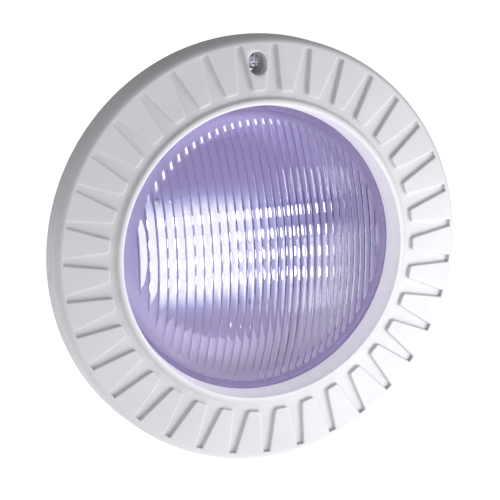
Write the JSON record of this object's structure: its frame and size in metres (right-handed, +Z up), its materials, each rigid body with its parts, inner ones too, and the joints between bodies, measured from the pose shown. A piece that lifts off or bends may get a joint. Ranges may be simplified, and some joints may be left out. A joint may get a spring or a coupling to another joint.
{
  "type": "underwater pool light",
  "caption": "Round wet-niche pool light: white face ring with raised wedge pads, domed fluted glass lens, clamped steel housing with cord gland.",
  "frame": {"origin": "on the lamp's axis, in the plane where the back edge of the face ring rests on the wall or niche", "axes": "+Y from the lens to the cord gland, so the lens faces -Y; +Z up on the wall; +X to the right seen from the front"},
  "size_m": [0.2728, 0.1632, 0.273],
  "materials": {
    "ring_plastic": "white moulded plastic, satin",
    "stainless": "drawn stainless steel, satin",
    "lens_glass": "clear tempered glass with a faint violet tint",
    "black_rubber": "moulded rubber",
    "grey_silicone": "moulded silicone, pale grey",
    "aluminium": "machined aluminium",
    "brass": "turned brass",
    "reflector_mirror": "vacuum metallised, bright",
    "white_board": "white solder mask",
    "green_board": "green solder mask",
    "led_dome": "clear silicone dome",
    "dark_plastic": "moulded, dark",
    "copper": "enamelled copper wire"
  },
  "bodies": {
    "light": {"bottom_hook": "stainless", "capacitor_1": "dark_plastic", "capacitor_2": "dark_plastic", "choke": "copper", "clamp_band": "stainless", "clamp_nut": "stainless", "clip_screw_1": "stainless", "clip_screw_2": "stainless", "clip_screw_3": "stainless", "clip_screw_4": "stainless", "cord_grommet": "black_rubber", "driver_board": "green_board", "driver_screw_1": "stainless", "driver_screw_2": "stainless", "driver_screw_3": "stainless", "face_ring": "ring_plastic", "gland_body": "brass", "gland_lock_nut": "brass", "gland_o_ring": "black_rubber", "ground_nut": "brass", "ground_stud": "brass", "heat_sink": "aluminium", "hook_screw_left": "stainless", "hook_screw_right": "stainless", "housing_shell": "stainless", "led_board": "white_board", "led_board_screw_1": "stainless", "led_board_screw_2": "stainless", "led_board_screw_3": "stainless", "led_cable": "black_rubber", "led_row_1": "led_dome", "led_row_2": "led_dome", "led_row_3": "led_dome", "led_row_4": "led_dome", "lens": "lens_glass", "lens_gasket": "grey_silicone", "reflector": "reflector_mirror", "ring_clip_1": "stainless", "ring_clip_2": "stainless", "ring_clip_3": "stainless", "ring_clip_4": "stainless", "standoff_1": "brass", "standoff_2": "brass", "standoff_3": "brass", "terminal_block": "white_board", "transformer": "dark_plastic"},
    "pilot_retainer": {"pilot_screw_retainer": "black_rubber"},
    "pilot_screw": {"pilot_screw": "stainless"},
    "clamp_washer": {"clamp_washer": "stainless"},
    "clamp_screw": {"clamp_screw": "stainless"},
    "slip_washer": {"slip_washer": "stainless"},
    "gland_nut": {"gland_nut": "brass"}
  },
  "joints": [
    {"name": "pilot_screw_travel", "type": "slide", "parent": "light", "child": "pilot_retainer", "axis": [0, -1, 0], "range_m": [0, 0.0127]},
    {"name": "pilot_screw_turn", "type": "hinge", "parent": "pilot_retainer", "child": "pilot_screw", "pos_m": [0, 0, 0.12], "axis": [0, -1, 0], "range_deg": [0, 3600]},
    {"name": "clamp_screw_travel", "type": "slide", "parent": "light", "child": "clamp_washer", "axis": [1, 0, 0], "range_m": [0, 0.01]},
    {"name": "clamp_screw_turn", "type": "hinge", "parent": "clamp_washer", "child": "clamp_screw", "pos_m": [0.0124, 0, -0.1185], "axis": [1, 0, 0], "range_deg": [0, 3600]},
    {"name": "gland_nut_travel", "type": "slide", "parent": "light", "child": "slip_washer", "axis": [0, 1, 0], "range_m": [0, 0.009]},
    {"name": "gland_nut_turn", "type": "hinge", "parent": "slip_washer", "child": "gland_nut", "pos_m": [0, 0.11, 0], "axis": [0, 1, 0], "range_deg": [0, 2160]}
  ],
  "couplings": [
    {"joint": "pilot_screw_turn", "follows": "pilot_screw_travel", "rad_per_m": 4947.4},
    {"joint": "clamp_screw_turn", "follows": "clamp_screw_travel", "rad_per_m": 6283.2},
    {"joint": "gland_nut_turn", "follows": "gland_nut_travel", "rad_per_m": 4188.8}
  ]
}
